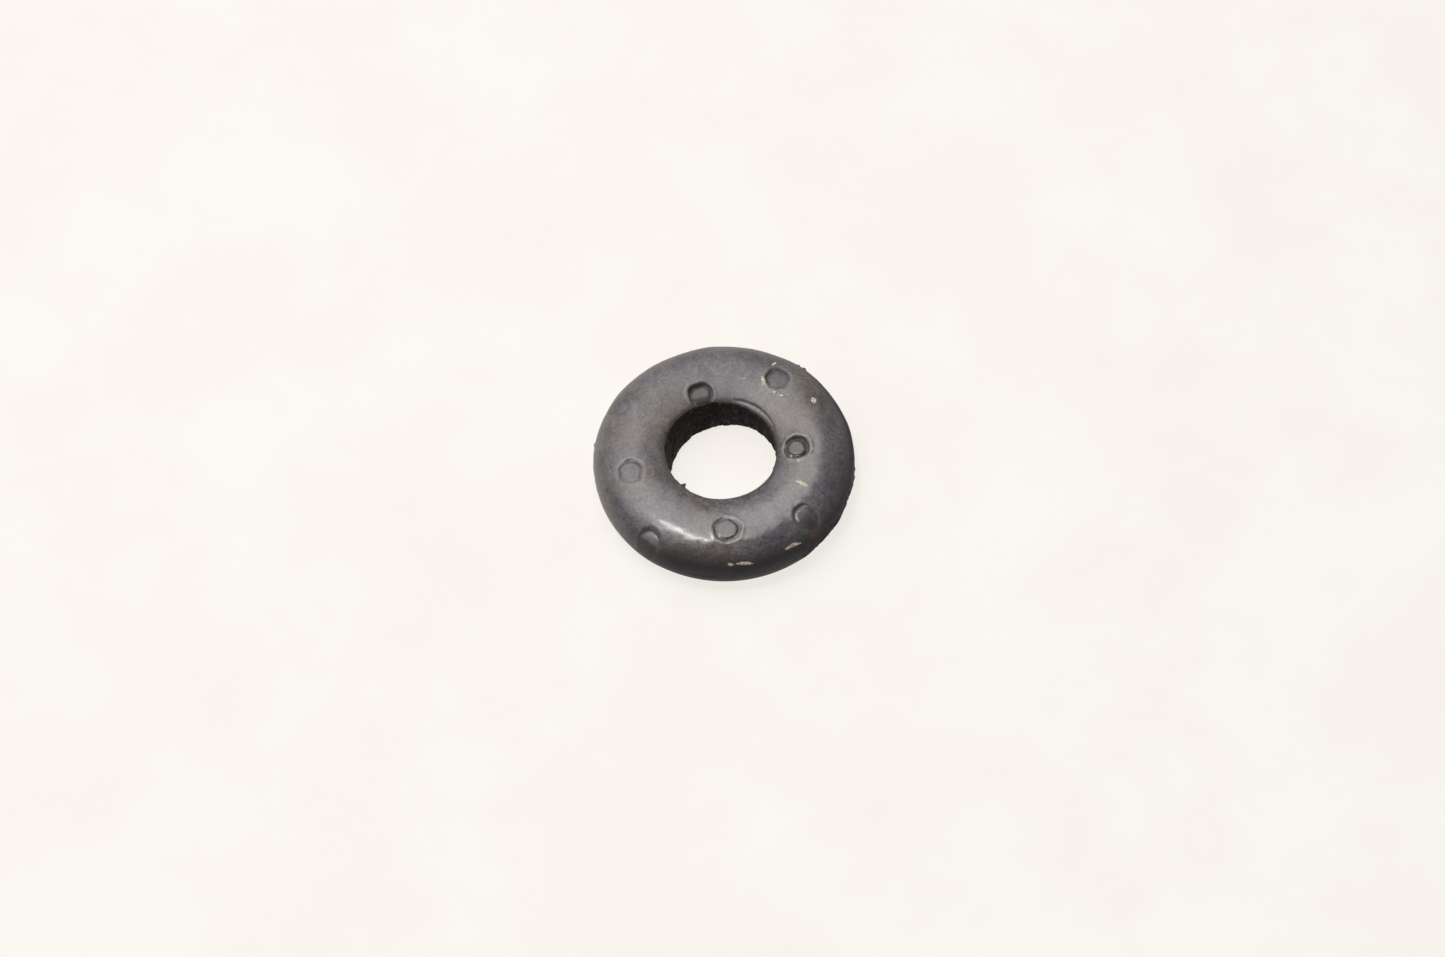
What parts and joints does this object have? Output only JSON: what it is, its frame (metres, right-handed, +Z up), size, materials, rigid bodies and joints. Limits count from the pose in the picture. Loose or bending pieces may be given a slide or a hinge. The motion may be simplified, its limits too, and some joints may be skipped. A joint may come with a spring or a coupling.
{
  "type": "gasket",
  "caption": "Dark rubber ring with a flat underside, a domed top with round mould pin marks, and a rough punched bore set slightly off centre.",
  "frame": {"origin": "centre of the bore at the flat underside", "axes": "+Z up along the bore, out of the domed side; +Y points away from the viewer of the picture and +X to the right"},
  "size_m": [0.026, 0.026, 0.0055],
  "materials": {
    "rubber": "satin, dark grey, slightly dusty"
  },
  "bodies": {
    "root": {"gasket": "rubber"}
  },
  "joints": []
}
